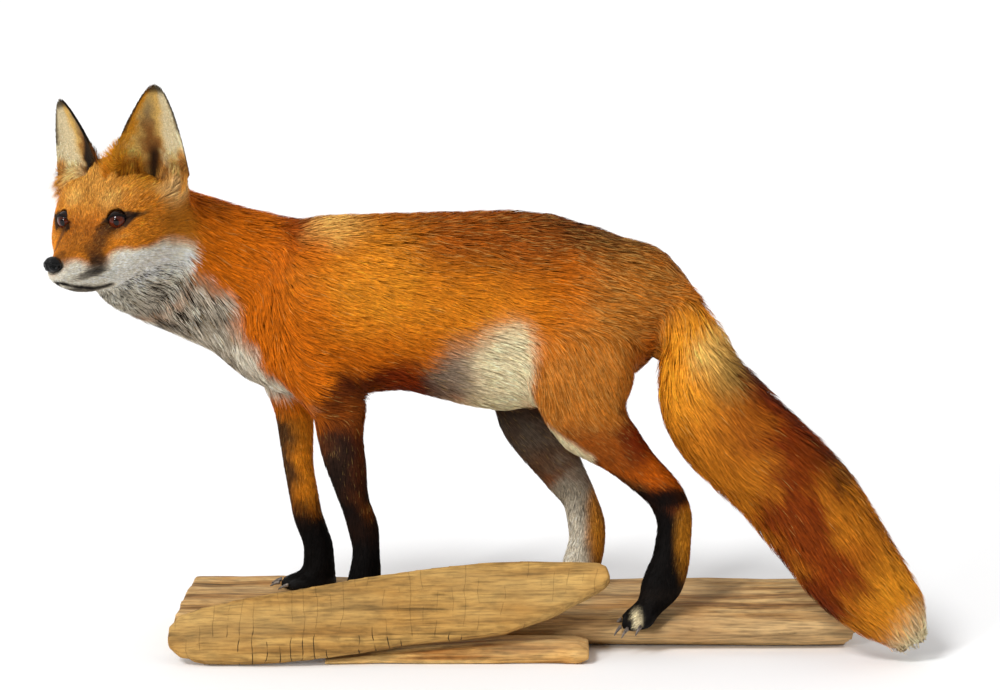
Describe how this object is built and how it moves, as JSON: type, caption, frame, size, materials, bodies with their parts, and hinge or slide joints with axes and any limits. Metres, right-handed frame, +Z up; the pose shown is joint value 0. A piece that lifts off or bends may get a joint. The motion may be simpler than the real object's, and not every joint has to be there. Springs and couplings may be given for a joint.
{
  "type": "mounted red fox on driftwood",
  "caption": "Life-size taxidermy red fox standing on a low driftwood base, head turned to its left, long brush of a tail hanging behind.",
  "frame": {"origin": "middle of the whole mount's footprint box, at the level the driftwood stands on", "axes": "-X is the way the fox faces, -Y is its left side and the front of the display, +Z is up"},
  "size_m": [0.8636, 0.2606, 0.5697],
  "materials": {
    "coat": "thick fur over a tanned skin",
    "eye": "glossy glass eye",
    "nose": "satin, finely pebbled",
    "claw": "satin horn",
    "log": "bare weathered wood",
    "slab": "bare weathered wood",
    "board": "bare weathered wood"
  },
  "bodies": {
    "root": {"base_log": "log", "base_slab": "slab", "base_board": "board", "trunk": "coat", "neck": "coat", "head": "coat", "lower_jaw": "coat", "tail": "coat", "forearm_left": "coat", "front_pastern_left": "coat", "front_paw_left": "coat", "thigh_left": "coat", "shank_left": "coat", "hind_pastern_left": "coat", "hind_paw_left": "coat", "ear_left": "coat", "eye_left": "eye", "forearm_right": "coat", "front_pastern_right": "coat", "front_paw_right": "coat", "thigh_right": "coat", "shank_right": "coat", "hind_pastern_right": "coat", "hind_paw_right": "coat", "ear_right": "coat", "eye_right": "eye", "nose": "nose", "claw_front_left_1": "claw", "claw_front_left_2": "claw", "claw_front_left_3": "claw", "claw_front_left_4": "claw", "claw_front_right_1": "claw", "claw_front_right_2": "claw", "claw_front_right_3": "claw", "claw_front_right_4": "claw", "claw_hind_left_1": "claw", "claw_hind_left_2": "claw", "claw_hind_left_3": "claw", "claw_hind_left_4": "claw", "claw_hind_right_1": "claw", "claw_hind_right_2": "claw", "claw_hind_right_3": "claw", "claw_hind_right_4": "claw"}
  },
  "joints": []
}
